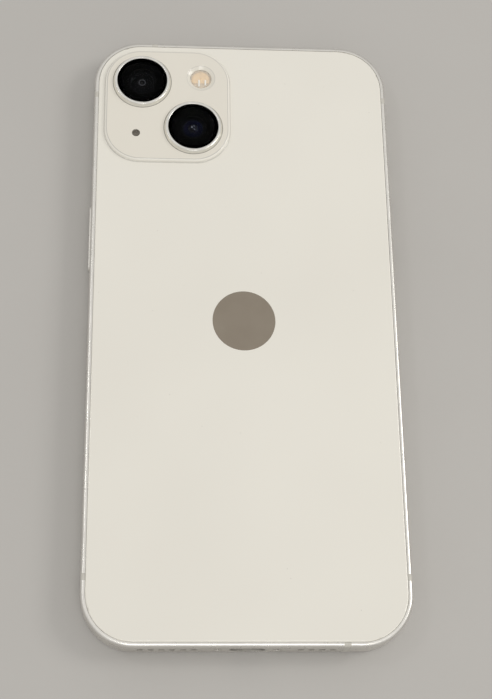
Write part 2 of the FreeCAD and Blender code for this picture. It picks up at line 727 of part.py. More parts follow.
# ---------------------------------------------------------------- buttons, switch and card tray
def button(node, side, y, long, stem):
    """Push button: rounded cap, two stems through the wall and a retaining head on each."""
    outer = "body_wide / 2 + cap_proud"
    face = (long, "cap_high")
    cap = wall_slot(node + "_cap", side, (y, "mid"), face, f"{outer} - cap_thick", "cap_thick")
    doc.recompute()
    reach = value(outer)
    round_edges(cap, cap.Tip, "cap_round",
                lambda span: abs(abs(span.XMin) - reach) < CLOSE and abs(abs(span.XMax) - reach) < CLOSE)
    pieces = [cap]
    for end in ("-", "+"):
        at_y = f"{y} {end} {stem}"
        stem_long = f"{outer} - cap_thick / 2 - stem_end"
        start = "stem_end" if side == "" else f"-stem_end - ({stem_long})"
        pieces.append(cylinder(node + "_stem", (start, at_y, "mid"), "stem_radius", stem_long, "x"))
        start = "stem_end" if side == "" else "-stem_end - head_thick"
        pieces.append(cylinder(node + "_head", (start, at_y, "mid"), "head_radius", "head_thick", "x"))
    keep(join(node + "_whole", pieces), node)


def seals(side, y, stem):
    """Rubber sleeves round a button's two stems."""
    rings = []
    inner = "body_wide / 2 - wall"
    for end in ("-", "+"):
        start = inner if side == "" else f"-({inner}) - seal_thick"
        at = (start, f"{y} {end} {stem}", "mid")
        sleeve = cylinder("seal_outer", at, "seal_radius", "seal_thick", "x")
        start = f"{inner} - over" if side == "" else f"-({inner}) - seal_thick - over"
        at = (start, f"{y} {end} {stem}", "mid")
        rings.append(cut("seal", sleeve, [cylinder("seal_hole", at, "seal_bore", "3 * over", "x")]))
    return rings


def switch_body(name, side, y, long):
    """Dome switch that a button's stems press."""
    face = (long, "cap_high - dome_short")
    start = "stem_end - switch_gap - switch_thick"
    low = start if side == "" else f"-({start}) - switch_thick"
    return rounded(name, "YZ_Plane", (y, "mid"), face, "dome_corner", low, "switch_thick")


def make_buttons():
    button("side_button", "-", "side_y", "side_long", "side_stem")
    button("volume_up_button", "", "up_y", "volume_long", "volume_stem")
    button("volume_down_button", "", "down_y", "volume_long", "volume_stem")
    sleeves = seals("-", "side_y", "side_stem")
    sleeves += seals("", "up_y", "volume_stem") + seals("", "down_y", "volume_stem")
    keep(group("sleeves", sleeves), "button_seals")
    domes = [
        switch_body("side_dome", "-", "side_y", "side_long"),
        switch_body("up_dome", "", "up_y", "volume_long"),
        switch_body("down_dome", "", "down_y", "volume_long"),
    ]
    keep(group("domes", domes), "button_switches")


def make_ring_switch():
    """Lever in its slot, with a stem into the switch module behind the wall."""
    outer = "body_wide / 2 + lever_proud"
    face = ("lever_long", "lever_high")
    cap = rounded("lever_cap", "YZ_Plane", ("lever_y", "lever_z"), face, "lever_corner",
                  f"{outer} - lever_thick", "lever_thick")
    doc.recompute()
    reach = value(outer)
    round_edges(cap, cap.Tip, "cap_round", lambda span: abs(span.XMin - reach) < CLOSE)
    stem_long = f"{outer} - lever_thick / 2 - lever_stem_end"
    at = (f"lever_stem_end + ({stem_long}) / 2", "lever_y", "lever_z - lever_stem_high / 2")
    stem = box("lever_stem", at, stem_long, "lever_stem_long", "lever_stem_high")
    keep(join("lever_whole", [cap, stem]), "ring_switch_lever")
    way = box("module_way", ("switch_box_x + over", "lever_y", "lever_slot_z - lever_way_high / 2"),
              "switch_box_wide", "lever_way_long", "lever_way_high")
    keep(cut("switch_case", block("switch_box"), [way]), "ring_switch_module")


def make_tray():
    """Card tray, its seal, the card reader, and the rod and lever that push the tray out."""
    outer = "body_wide / 2"
    face = ("tray_face_long", "tray_face_high")
    front = wall_slot("tray_front", "", ("tray_y", "mid"), face, f"{outer} - tray_face_thick",
                      "tray_face_thick")
    body_low = "mid - tray_body_thick / 2"
    long_x = f"{outer} - tray_face_thick / 2 - tray_body_end"
    bed_at = (f"tray_body_end + ({long_x}) / 2", "tray_body_y", body_low)
    bed = box("tray_bed", bed_at, long_x, "tray_body_long", "tray_body_thick")
    card_at = ("card_x", "tray_body_y", "mid - 2 * over")
    card = box("card_space", card_at, "card_long", "card_wide", "4 * over")
    pin = cylinder("pin_way", (f"{outer} - 3 * over", "pin_y", "mid"), "pin_hole", "5 * over", "x")
    keep(cut("tray_cut", join("tray_blank", [front, bed]), [card, pin]), "sim_tray")
    seal_x = "tray_seal_x + tray_seal_deep / 2"
    seal_low = f"{body_low} - tray_seal_thick"
    band = box("seal_band", (seal_x, "tray_body_y", seal_low), "tray_seal_deep",
               "tray_body_long + 2 * tray_seal_thick", "tray_body_thick + 2 * tray_seal_thick")
    inside = box("seal_space", (seal_x, "tray_body_y", body_low), "2 * tray_seal_deep",
                 "tray_body_long", "tray_body_thick")
    keep(cut("tray_band", band, [inside]), "sim_tray_seal")
    shell = cut("reader_shell", block("reader"), [block("reader_space"), block("reader_window")])
    post_at = ("ejector_x", "ejector_y", "reader_low")
    post = cylinder("ejector_post", post_at, "pivot_radius", "reader_thick")
    keep(join("reader_whole", [shell, post]), "sim_reader")
    rod_long = "rod_end - rod_start"
    keep(cylinder("rod", ("rod_start", "pin_y", "mid"), "rod_radius", rod_long, "x"), "sim_eject_rod")
    arm = rounded("ejector_arm", "XY_Plane", ("ejector_x", "ejector_y"), ("ejector_wide", "ejector_long"),
                  f"{STADIUM} * ejector_wide", "mid - ejector_thick / 2", "ejector_thick")
    hub = cylinder("ejector_hub", ("ejector_x", "ejector_y", "mid - ejector_thick / 2"),
                   "2 * pivot_radius", "ejector_thick")
    hole_at = ("ejector_x", "ejector_y", "mid - 2 * over")
    hole = cylinder("ejector_hole", hole_at, "pivot_radius + pivot_clear", "4 * over")
    keep(cut("ejector_cut", join("ejector_blank", [arm, hub]), [hole]), "sim_eject_lever")


# ---------------------------------------------------------------- bottom end
def make_bottom():
    """Charging socket with its contacts, screws, loudspeaker, haptic motor and microphones."""
    inner = "-body_long / 2 + wall"
    shell = end_slot("shell_outer", ("shell_wide", "shell_high"), inner, "shell_deep")
    space_face = ("shell_wide - 2 * shell_skin", "shell_high - 2 * shell_skin / 2")
    space = end_slot("shell_space", space_face, f"{inner} - over", "shell_deep - shell_back + over")
    keep(cut("shell_cut", shell, [space]), "charge_socket_shell")
    blades = []
    back = f"{inner} + shell_deep - shell_back"
    floor = "mid - shell_high / 2 + shell_skin / 2"
    for index in range(CONTACTS):
        offset = index - (CONTACTS - 1) / 2
        at = (f"{offset} * contact_step", f"{back} - contact_long / 2", floor)
        blades.append(box("contact", at, "contact_wide", "contact_long", "contact_high"))
    keep(group("contacts", blades), "charge_socket_contacts")
    keep(join("socket_ribbon", [block("socket_lead"), block("socket_lead_arm")]), "charge_socket_flex")
    screws = []
    for side in ("-", ""):
        at = (f"{side}screw_x", "-body_long / 2 + screw_inset", "mid")
        head = cylinder("screw_cap", at, "screw_head", "screw_head_thick", "y")
        shank = cylinder("screw_shaft", at, "screw_shank", "screw_long", "y")
        hexagon = doc.addObject("Part::Prism", "screw_hexagon")
        hexagon.Polygon = 6
        lying = FreeCAD.Rotation(FreeCAD.Vector(1, 0, 0), -90)
        hexagon.Placement = FreeCAD.Placement(FreeCAD.Vector(), lying)
        bind(hexagon, {
            "Circumradius": "screw_socket",
            "Height": "screw_socket_deep",
            "Placement.Base.x": at[0],
            "Placement.Base.y": at[1],
            "Placement.Base.z": at[2],
        })
        screws.append(cut("screw", join("screw_blank", [head, shank]), [hexagon]))
    keep(group("end_screws", screws), "bottom_screws")
    keep(block("loudspeaker"), "loudspeaker")
    keep(group("meshes", [block("speaker_mesh"), block("mic_mesh")]), "bottom_meshes")
    keep(group("microphone_pair", [block("rear_mic"), block("low_mic")]), "microphones")
    case = block("haptic_case")
    room = plate("haptic_room", "haptic_case_wide - 2 * haptic_skin", "haptic_case_long - 2 * haptic_skin",
                 "haptic_case_corner - haptic_skin / 2", "haptic_case_low + haptic_floor",
                 "haptic_case_thick", ("haptic_case_x", "haptic_case_y"))
    keep(cut("haptic_tray", case, [room]), "haptic_motor_case")
    keep(block("haptic_lid"), "haptic_motor_lid")
    keep(block("haptic_weight"), "haptic_motor_mass")


# ---------------------------------------------------------------- battery, board and charging coil
def make_power():
    keep(join("battery_pack", [block("battery"), block("battery_lead")]), "battery")
    keep(group("pull_strips", [block("left_strip"), block("right_strip")]), "battery_adhesive")
    ways = []
    screws = []
    for x, y in BOARD_SCREWS:
        top = "board_low + board_thick"
        spot = (str(x), str(y), "plate_low + plate_thick")
        long = f"{top} - plate_low - plate_thick"
        ways.append(cylinder("board_way", spot, "board_screw_shank + screw_clear", "2 * over"))
        shank = cylinder("board_shank", spot, "board_screw_shank", f"{long} + board_screw_thick / 2")
        head = cylinder("board_head", (str(x), str(y), top), "board_screw_head", "board_screw_thick")
        screws.append(join("board_screw", [shank, head]))
    keep(cut("board_cut", block("board"), ways), "logic_board")
    keep(group("board_fixings", screws), "board_screws")
    cans = []
    for can in ("main_can", "radio_can", "power_can"):
        at = (f"{can}_x", f"{can}_y")
        room = plate(can + "_room", f"{can}_wide - 2 * can_skin", f"{can}_long - 2 * can_skin",
                     f"{can}_corner - can_skin", f"{can}_low - over", f"{can}_thick - can_skin + over", at)
        cans.append(cut(can + "_cut", block(can), [room]))
    keep(group("cans", cans), "board_shields")
    keep(group("chips", [block("main_chip"), block("radio_chip"), block("power_chip")]), "board_chips")


def ring(name, outer, inner, low, thick):
    """Flat ring round the middle of the body."""
    disc = cylinder(name + "_disc", ("0", "0", low), outer, thick)
    hole = cylinder(name + "_hole", ("0", "0", f"{low} - over"), inner, f"{thick} + 2 * over")
    return cut(name, disc, [hole])


def make_charging():
    keep(ring("coil", "coil_outer", "coil_inner", "coil_low", "coil_thick"), "charging_coil")
    shield = cylinder("ferrite", ("0", "0", "shield_low"), "shield_outer", "shield_thick")
    keep(shield, "coil_shield")
    whole = ring("magnets_whole", "magnet_outer", "magnet_inner", "magnet_low", "magnet_thick")
    gap = box("magnet_break", ("0", "magnet_outer", "0"), "magnet_gap", "magnet_outer", "body_thick")
    foot = box("magnet_break", ("0", "-magnet_outer", "0"), "magnet_gap", "magnet_outer", "body_thick")
    halves = cut("magnets", whole, [gap, foot])
    keep(group("magnet_set", [halves, block("align_magnet")]), "charging_magnets")


# ---------------------------------------------------------------- build, check and write
for name, number in DIMENSIONS.items():
    store(name, number)
for name, numbers in BLOCKS.items():
    for end, number in zip(BLOCK_ENDS, numbers):
        store(f"{name}_{end}", number)
doc.recompute()

make_frame()
make_front()
make_rear_glass()
wide_sensor = make_lens("wide_camera", "wide", "wide_barrel")
ultra_sensor = make_lens("ultrawide_camera", "ultra", "ultra_barrel")
keep(group("sensors", [wide_sensor, ultra_sensor]), "image_sensors")
make_flash()
make_buttons()
make_ring_switch()
make_tray()
make_bottom()
make_power()
make_charging()
doc.recompute()

failed = [item.Name for item in doc.Objects if {"Invalid", "Error"} & set(item.State)]
for node in nodes:
    if node.Shape.isNull() or not node.Shape.isValid() or not node.Shape.Solids:
        failed.append(node.Label)
if failed:
    raise RuntimeError("failed: " + ", ".join(failed))

os.makedirs("parts", exist_ok=True)
for node in nodes:
    node.Shape.exportStep(f"parts/{node.Label}.step")
    print(f"{node.Label}: {len(node.Shape.Solids)} solid(s), {node.Shape.Volume:.2f} mm3")
print(len(nodes), "nodes")
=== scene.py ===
import json
import math

import bmesh
import bpy
from mathutils import Matrix, Vector


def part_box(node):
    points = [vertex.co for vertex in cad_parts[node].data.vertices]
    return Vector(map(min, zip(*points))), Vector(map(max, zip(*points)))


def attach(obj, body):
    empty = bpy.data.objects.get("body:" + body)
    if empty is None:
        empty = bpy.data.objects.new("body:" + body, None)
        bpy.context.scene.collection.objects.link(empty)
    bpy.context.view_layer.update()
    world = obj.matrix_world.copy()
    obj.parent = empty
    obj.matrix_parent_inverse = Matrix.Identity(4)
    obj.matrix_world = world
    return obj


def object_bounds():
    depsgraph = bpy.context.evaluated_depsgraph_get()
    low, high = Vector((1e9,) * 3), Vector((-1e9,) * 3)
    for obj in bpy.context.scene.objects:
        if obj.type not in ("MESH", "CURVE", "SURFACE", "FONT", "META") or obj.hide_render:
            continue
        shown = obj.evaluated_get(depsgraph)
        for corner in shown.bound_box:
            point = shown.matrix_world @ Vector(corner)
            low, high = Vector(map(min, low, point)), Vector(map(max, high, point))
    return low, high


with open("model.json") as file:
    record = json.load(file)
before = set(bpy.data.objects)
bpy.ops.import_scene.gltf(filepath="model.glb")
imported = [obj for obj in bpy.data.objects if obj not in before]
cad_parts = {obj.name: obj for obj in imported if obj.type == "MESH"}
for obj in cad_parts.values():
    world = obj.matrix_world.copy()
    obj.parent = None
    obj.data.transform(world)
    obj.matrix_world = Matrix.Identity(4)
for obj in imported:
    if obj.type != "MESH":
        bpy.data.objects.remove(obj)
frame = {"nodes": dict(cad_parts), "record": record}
cad_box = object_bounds()

# The scene is in metres.  Numbers for shapes are in millimetres unless a comment says otherwise.
MM = 0.001
PHONE = "phone_body"
FOCUS = "focus_barrel_body"


# ------------------------------------------------------------------ places and sizes from the frame
def centre_of(node):
    """Centre of a node, in metres."""
    low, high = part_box(node)
    return (low + high) / 2


def middle(node):
    """Centre of a node in plan."""
    place = centre_of(node) / MM
    return place.x, place.y


def radius_of(node):
    """Half the width of a round node."""
    low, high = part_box(node)
    return (high.x - low.x) / 2 / MM


def top_of(node):
    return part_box(node)[1].z / MM


def bottom_of(node):
    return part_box(node)[0].z / MM


BACK = top_of("rear_emblem")
PLATEAU = top_of("rear_glass")
BODY_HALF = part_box("mid_frame")[1] / MM
BODY_CORNER = 11.4

# ------------------------------------------------------------------ camera, in metres
CAMERA_PLACE = Vector((-0.02570, -0.12020, 0.32411))
CAMERA_AIM = Vector((-0.00285, 0.01510, 0.00765))
CAMERA_ROLL = math.radians(-0.647)
CAMERA_LENS = 76.02
CAMERA_SHIFT = (0.0215, -0.1280)
CAMERA_SENSOR = 36.0
CAMERA_NEAR = 0.01
CAMERA_FAR = 20.0


def make_camera():
    """Looks down on the phone's rear from beyond its lower end, a little from the left."""
    data = bpy.data.cameras.new("camera")
    data.sensor_width = CAMERA_SENSOR
    data.lens = CAMERA_LENS
    data.shift_x, data.shift_y = CAMERA_SHIFT
    data.clip_start = CAMERA_NEAR
    data.clip_end = CAMERA_FAR
    camera = bpy.data.objects.new("camera", data)
    bpy.context.scene.collection.objects.link(camera)
    ahead = (CAMERA_AIM - CAMERA_PLACE).normalized()
    side = ahead.cross(Vector((0, 1, 0))).normalized()
    above = side.cross(ahead)
    right = math.cos(CAMERA_ROLL) * side + math.sin(CAMERA_ROLL) * above
    up = -math.sin(CAMERA_ROLL) * side + math.cos(CAMERA_ROLL) * above
    turn = Matrix((right, up, -ahead)).transposed()
    camera.matrix_world = Matrix.Translation(CAMERA_PLACE) @ turn.to_4x4()
    bpy.context.scene.camera = camera


# ------------------------------------------------------------------ light and floor, in metres
# Light: place, side of its square, power in watts and colour.  All three aim at the origin.
LIGHTS = {
    "key": ((0.75, 0.15, 0.70), 0.34, 2.0, (1.0, 0.98, 0.94)),
    "front": ((0.05, -0.40, 0.95), 0.34, 1.1, (1.0, 0.99, 0.96)),
    "left": ((-0.54, 0.25, 0.84), 0.14, 0.35, (1.0, 0.99, 0.97)),
}
# Brightness of the sky by the sine of its elevation: darker low down, brightest overhead.
SKY = ((0.0, 0.34), (0.12, 0.40), (0.26, 0.64), (0.64, 0.64), (0.78, 0.76), (1.0, 0.76))
SKY_WARMTH = (1.0, 0.985, 0.955)
FLOOR_REACH = 3.0
PAPER = (0.50, 0.485, 0.465)
PAPER_DARK = (0.49, 0.475, 0.455)
PAPER_PALE = (0.51, 0.495, 0.475)
PAPER_GRAIN = 0.00008


def make_light(name, place, side, power, colour):
    data = bpy.data.lights.new(name, "AREA")
    data.shape = "RECTANGLE"
    data.size = side
    data.size_y = side
    data.energy = power
    data.color = colour
    light = bpy.data.objects.new(name, data)
    bpy.context.scene.collection.objects.link(light)
    light.location = place
    light.rotation_euler = (-Vector(place)).to_track_quat("-Z", "Y").to_euler()


def fill_ramp(ramp, stops):
    """Gives a colour ramp its stops, each a position and a colour."""
    while len(ramp.color_ramp.elements) < len(stops):
        ramp.color_ramp.elements.new(0.5)
    for element, (position, colour) in zip(ramp.color_ramp.elements, stops):
        element.position = position
        element.color = (*colour, 1)


def make_sky():
    """Even sky, shaded by elevation."""
    world = bpy.data.worlds.new("studio")
    world.use_nodes = True
    bpy.context.scene.world = world
    tree = world.node_tree
    back = tree.nodes["Background"]
    back.inputs["Strength"].default_value = 1.0
    where = tree.nodes.new("ShaderNodeTexCoord")
    split = tree.nodes.new("ShaderNodeSeparateXYZ")
    ramp = tree.nodes.new("ShaderNodeValToRGB")
    tree.links.new(where.outputs["Generated"], split.inputs["Vector"])
    tree.links.new(split.outputs["Z"], ramp.inputs["Fac"])
    tree.links.new(ramp.outputs["Color"], back.inputs["Color"])
    fill_ramp(ramp, [(height, [bright * share for share in SKY_WARMTH]) for height, bright in SKY])


def make_floor():
    """Plain pale paper under the phone."""
    mesh = bpy.data.meshes.new("floor")
    build = bmesh.new()
    bmesh.ops.create_grid(build, x_segments=1, y_segments=1, size=FLOOR_REACH)
    build.to_mesh(mesh)
    build.free()
    floor = bpy.data.objects.new("floor", mesh)
    bpy.context.scene.collection.objects.link(floor)
    floor.location.z = cad_box[0].z
    finish = material("floor_paper", PAPER, 0.85)
    mottle(finish, PAPER_DARK, PAPER_PALE, 9.0)
    grain(finish, 900.0, 0.25, PAPER_GRAIN)
    floor.data.materials.append(finish)


def make_studio():
    make_sky()
    for name, (place, side, power, colour) in LIGHTS.items():
        make_light(name, place, side, power, colour)
    make_floor()
    bpy.context.scene.view_settings.view_transform = "Standard"


# ------------------------------------------------------------------ material tools
# Scales are in cycles per metre, and depths of relief in metres.
GRAIN_DEPTH = 0.00002


def shader_of(made):
    return made.node_tree.nodes["Principled BSDF"]


def material(name, colour, rough, metal=0.0, **sockets):
    """Principled material; the other arguments are its sockets' names with underscores."""
    made = bpy.data.materials.new(name)
    made.use_nodes = True
    shader = shader_of(made)
    shader.inputs["Base Color"].default_value = (*colour, 1)
    shader.inputs["Roughness"].default_value = rough
    shader.inputs["Metallic"].default_value = metal
    for key, number in sockets.items():
        shader.inputs[key.replace("_", " ")].default_value = number
    return made


def place_node(made, kind, **values):
    """Adds a node; each value sets the socket of that name, or else the node's property."""
    node = made.node_tree.nodes.new(kind)
    for key, value in values.items():
        if key in node.inputs:
            node.inputs[key].default_value = value
        else:
            setattr(node, key, value)
    return node


def noise(made, scale, detail=4.0, rough=0.55, stretch=(1, 1, 1)):
    """Noise over the object's own coordinates."""
    tree = made.node_tree
    where = place_node(made, "ShaderNodeTexCoord")
    turn = place_node(made, "ShaderNodeMapping")
    turn.inputs["Scale"].default_value = stretch
    tree.links.new(where.outputs["Object"], turn.inputs["Vector"])
    cloud = place_node(made, "ShaderNodeTexNoise", Scale=scale, Detail=detail, Roughness=rough)
    tree.links.new(turn.outputs["Vector"], cloud.inputs["Vector"])
    return cloud.outputs["Fac"]


def spread(made, value, low, high, start=0.35, end=0.65):
    """Maps a value from the range between start and end onto the range between low and high."""
    fit = place_node(made, "ShaderNodeMapRange")
    fit.inputs["From Min"].default_value = start
    fit.inputs["From Max"].default_value = end
    fit.inputs["To Min"].default_value = low
    fit.inputs["To Max"].default_value = high
    made.node_tree.links.new(value, fit.inputs["Value"])
    return fit.outputs["Result"]


def sockets_of(sockets, kind):
    return [item for item in sockets if item.type == kind]


def blend_colours(made, factor, first, second):
    """Mix of two colours, each a tuple or another node's output."""
    mix = place_node(made, "ShaderNodeMix", data_type="RGBA")
    made.node_tree.links.new(factor, mix.inputs["Factor"])
    for target, colour in zip(sockets_of(mix.inputs, "RGBA"), (first, second)):
        if isinstance(colour, tuple):
            target.default_value = (*colour, 1)
        else:
            made.node_tree.links.new(colour, target)
    return sockets_of(mix.outputs, "RGBA")[0]


def multiply_colours(made, first, second):
    """Product of two colours, each another node's output."""
    mix = place_node(made, "ShaderNodeMix", data_type="RGBA", blend_type="MULTIPLY", clamp_result=False)
    mix.inputs["Factor"].default_value = 1.0
    for target, colour in zip(sockets_of(mix.inputs, "RGBA"), (first, second)):
        made.node_tree.links.new(colour, target)
    return sockets_of(mix.outputs, "RGBA")[0]


def paint(made, socket, value):
    made.node_tree.links.new(value, shader_of(made).inputs[socket])


def mottle(made, first, second, scale):
    """Uneven colour."""
    paint(made, "Base Color", blend_colours(made, spread(made, noise(made, scale), 0, 1), first, second))


def smudge(made, low, high, scale, stretch=(1, 1, 1)):
    """Uneven roughness, as handling leaves it."""
    cloud = noise(made, scale, 5.0, 0.6, stretch)
    paint(made, "Roughness", spread(made, cloud, low, high))


def grain(made, scale, strength, depth):
    """Fine relief."""
    bump = place_node(made, "ShaderNodeBump")
    bump.inputs["Strength"].default_value = strength
    bump.inputs["Distance"].default_value = depth
    made.node_tree.links.new(noise(made, scale, 3.0, 0.5), bump.inputs["Height"])
    paint(made, "Normal", bump.outputs["Normal"])


def brighter(colour, share):
    return tuple(min(part * share, 1) for part in colour)


# ------------------------------------------------------------------ materials of the record's slots
# Slot: two ends of the colour, two ends of the roughness, metallic, scale of the colour patches,
# scale of the grain, and the grain's strength.
PLAIN = {
    "frame_metal": ((0.78, 0.76, 0.72), (0.83, 0.81, 0.77), 0.26, 0.34, 1.0, 240, 9000, 0.012),
    "break_plastic": ((0.54, 0.52, 0.47), (0.60, 0.58, 0.53), 0.40, 0.50, 0.0, 900, 9000, 0.10),
    "lens_metal": ((0.80, 0.79, 0.75), (0.86, 0.85, 0.81), 0.16, 0.24, 1.0, 500, 16000, 0.06),
    "black_plastic": ((0.010, 0.010, 0.011), (0.018, 0.018, 0.019), 0.38, 0.52, 0.0, 700, 7000, 0.20),
    "phosphor": ((0.80, 0.56, 0.16), (0.90, 0.68, 0.26), 0.45, 0.60, 0.0, 2500, 9000, 0.20),
    "steel": ((0.46, 0.46, 0.47), (0.56, 0.56, 0.57), 0.26, 0.36, 1.0, 300, 5000, 0.12),
    "screw_metal": ((0.60, 0.58, 0.55), (0.68, 0.66, 0.63), 0.18, 0.28, 1.0, 1500, 9000, 0.10),
    "black_mesh": ((0.020, 0.020, 0.021), (0.040, 0.040, 0.042), 0.40, 0.55, 0.6, 2500, 8000, 0.50),
    "mesh_metal": ((0.22, 0.195, 0.165), (0.34, 0.31, 0.27), 0.40, 0.55, 0.6, 2500, 8000, 0.50),
    "circuit": ((0.006, 0.016, 0.013), (0.012, 0.030, 0.024), 0.34, 0.48, 0.0, 400, 5000, 0.30),
    "flex_film": ((0.020, 0.014, 0.009), (0.035, 0.025, 0.016), 0.36, 0.50, 0.0, 300, 4000, 0.15),
    "chip": ((0.012, 0.012, 0.013), (0.022, 0.022, 0.024), 0.42, 0.58, 0.0, 600, 8000, 0.20),
    "battery_foil": ((0.016, 0.016, 0.017), (0.026, 0.026, 0.028), 0.34, 0.50, 0.0, 120, 3000, 0.20),
    "bond": ((0.012, 0.012, 0.012), (0.020, 0.020, 0.020), 0.60, 0.75, 0.0, 500, 6000, 0.30),
    "seal_rubber": ((0.010, 0.010, 0.010), (0.018, 0.018, 0.018), 0.62, 0.78, 0.0, 800, 7000, 0.30),
    "copper": ((0.62, 0.27, 0.13), (0.74, 0.36, 0.18), 0.26, 0.38, 1.0, 300, 5000, 0.20),
    "gold": ((0.78, 0.54, 0.20), (0.86, 0.62, 0.26), 0.20, 0.30, 1.0, 900, 9000, 0.10),
    "ferrite": ((0.020, 0.020, 0.022), (0.034, 0.034, 0.037), 0.45, 0.60, 0.2, 200, 5000, 0.20),
    "magnet": ((0.36, 0.36, 0.37), (0.46, 0.46, 0.47), 0.26, 0.36, 1.0, 300, 6000, 0.10),
    "tungsten": ((0.24, 0.24, 0.25), (0.32, 0.32, 0.33), 0.34, 0.46, 1.0, 300, 7000, 0.20),
    "display": ((0.004, 0.004, 0.006), (0.007, 0.007, 0.010), 0.10, 0.16, 0.0, 120, 6000, 0.02),
}
SMUDGE_TO_PATCH = 1.7


def plain_material(slot):
    first, second, smooth, dull, metal, patches, fine, strength = PLAIN[slot]
    made = material(slot, first, dull, metal)
    mottle(made, first, second, patches)
    smudge(made, smooth, dull, patches * SMUDGE_TO_PATCH)
    grain(made, fine, strength, GRAIN_DEPTH)
    return made


# Painted light on the rear glass by height: a painted highlight on its polished edge and on the plateau's
# wall, painted shade lines at the plateau's foot and crest, and the plateau's top a little darker than the
# back.
GLASS_PAINTED_LIGHT = (
    (BACK - 0.370, 1.16), (BACK - 0.040, 1.15), (BACK - 0.005, 1.00), (BACK + 0.005, 1.00),
    (BACK + 0.030, 0.72), (BACK + 0.110, 0.90), (BACK + 0.230, 1.16), (PLATEAU - 0.150, 1.16),
    (PLATEAU - 0.080, 1.04), (PLATEAU - 0.050, 0.70), (PLATEAU - 0.010, 0.76),
)
PLATEAU_TINT = (PLATEAU - 0.002, (0.955, 0.940, 0.920))
# The flash's recess dips through those heights, so it has a tint of its own out to this radius.
RECESS_TINT = (0.97, 0.96, 0.94)
RECESS_RADIUS = 3.3
RECESS_FADE = 0.1
GLASS_WHITE = (0.78, 0.75, 0.68)
BACKING_DARK = (0.800, 0.775, 0.710)
BACKING_PALE = (0.822, 0.798, 0.732)
DUST = (0.56, 0.53, 0.48)


def painted_light_by_height(made, where):
    """Colour factor of the rear glass: painted highlights and shade lines by height, and even in the flash's
    recess.
    """
    tree = made.node_tree
    tints = [(height, (shade, shade, shade)) for height, shade in GLASS_PAINTED_LIGHT] + [PLATEAU_TINT]
    first, last = tints[0][0], tints[-1][0]
    split = place_node(made, "ShaderNodeSeparateXYZ")
    tree.links.new(where.outputs["Object"], split.inputs["Vector"])
    level = spread(made, split.outputs["Z"], 0, 1, first * MM, last * MM)
    ramp = place_node(made, "ShaderNodeValToRGB")
    tree.links.new(level, ramp.inputs["Fac"])
    fill_ramp(ramp, [((height - first) / (last - first), tint) for height, tint in tints])
    recess = place_node(made, "ShaderNodeVectorMath", operation="DISTANCE")
    tree.links.new(where.outputs["Object"], recess.inputs[0])
    recess.inputs[1].default_value = centre_of("flash_window")
    edge = (RECESS_RADIUS * MM, (RECESS_RADIUS + RECESS_FADE) * MM)
    away = spread(made, recess.outputs["Value"], 0, 1, *edge)
    return blend_colours(made, away, RECESS_TINT, ramp.outputs["Color"])


def rear_glass_material():
    """Polished clear glass over a warm white backing with painted highlights and shade lines by height, faint
    smudges and a few specks of dust.
    """
    made = material("rear_glass", GLASS_WHITE, 0.06, IOR=1.5)
    where = place_node(made, "ShaderNodeTexCoord")
    soft = spread(made, noise(made, 22.0, 2.0), 0, 1)
    backing = blend_colours(made, soft, BACKING_DARK, BACKING_PALE)
    # The backing's colour carries the painted highlights and shade lines by height.
    body = multiply_colours(made, backing, painted_light_by_height(made, where))
    cells = place_node(made, "ShaderNodeTexVoronoi", Scale=260.0, Randomness=1.0)
    made.node_tree.links.new(where.outputs["Object"], cells.inputs["Vector"])
    near = spread(made, cells.outputs["Distance"], 1.0, 0.0, 0.012, 0.03)
    paint(made, "Base Color", blend_colours(made, near, body, DUST))
    smudge(made, 0.045, 0.11, 60.0, (1, 0.5, 1))
    return made


def display_glass_material():
    """Clear polished glass over the black border and the display, with finger marks in its gloss."""
    made = material("display_glass", (0.80, 0.82, 0.84), 0.03, IOR=1.5, Transmission_Weight=1.0)
    mottle(made, (0.79, 0.81, 0.83), (0.81, 0.83, 0.85), 40.0)
    smudge(made, 0.015, 0.05, 70.0, (1, 0.6, 1))
    return made


def lens_glass_material():
    """Cover glass; its low refraction stands for a coating that takes most of the gloss away."""
    made = material("lens_glass", (0.85, 0.88, 0.92), 0.0, IOR=1.08, Transmission_Weight=1.0)
    mottle(made, (0.84, 0.87, 0.92), (0.87, 0.90, 0.94), 300.0)
    return made


def clear_glass_material():
    """Thin milky window that lets light through to what is behind it."""
    made = material("clear_glass", (0.97, 0.96, 0.93), 0.05, IOR=1.45, Alpha=0.14)
    mottle(made, (0.95, 0.94, 0.90), (0.98, 0.97, 0.94), 500.0)
    return made


def emblem_material():
    """Polished metal film under the glass."""
    made = material("emblem_metal", (0.335, 0.290, 0.236), 0.12, 1.0)
    mottle(made, (0.325, 0.280, 0.227), (0.345, 0.300, 0.245), 150.0)
    smudge(made, 0.10, 0.17, 260.0)
    return made


SPECIAL = {
    "rear_glass": rear_glass_material,
    "display_glass": display_glass_material,
    "lens_glass": lens_glass_material,
    "clear_glass": clear_glass_material,
    "emblem_metal": emblem_material,
}


def finish_frame():
    """Gives every carried-over node the material of its slot."""
    made = {}
    for entry in frame["record"]["materials"]:
        slot = entry["slot"]
        made[slot] = SPECIAL[slot]() if slot in SPECIAL else plain_material(slot)
    for entry in frame["record"]["subparts"]:
        mesh = frame["nodes"][entry["node"]].data
        mesh.materials.clear()
        mesh.materials.append(made[entry["material_slot"]])
    return made


# ------------------------------------------------------------------ mesh tools
CREASE = math.radians(32)
WELD = 1e-5
QUARTERS = ((1, 1), (-1, 1), (-1, -1), (1, -1))
# Steps round a large, a medium and a small turned piece, and in a corner of the body's outline.
FINE_TURN = 96
MEDIUM_TURN = 64
SMALL_TURN = 48
BODY_CORNER_STEPS = 16


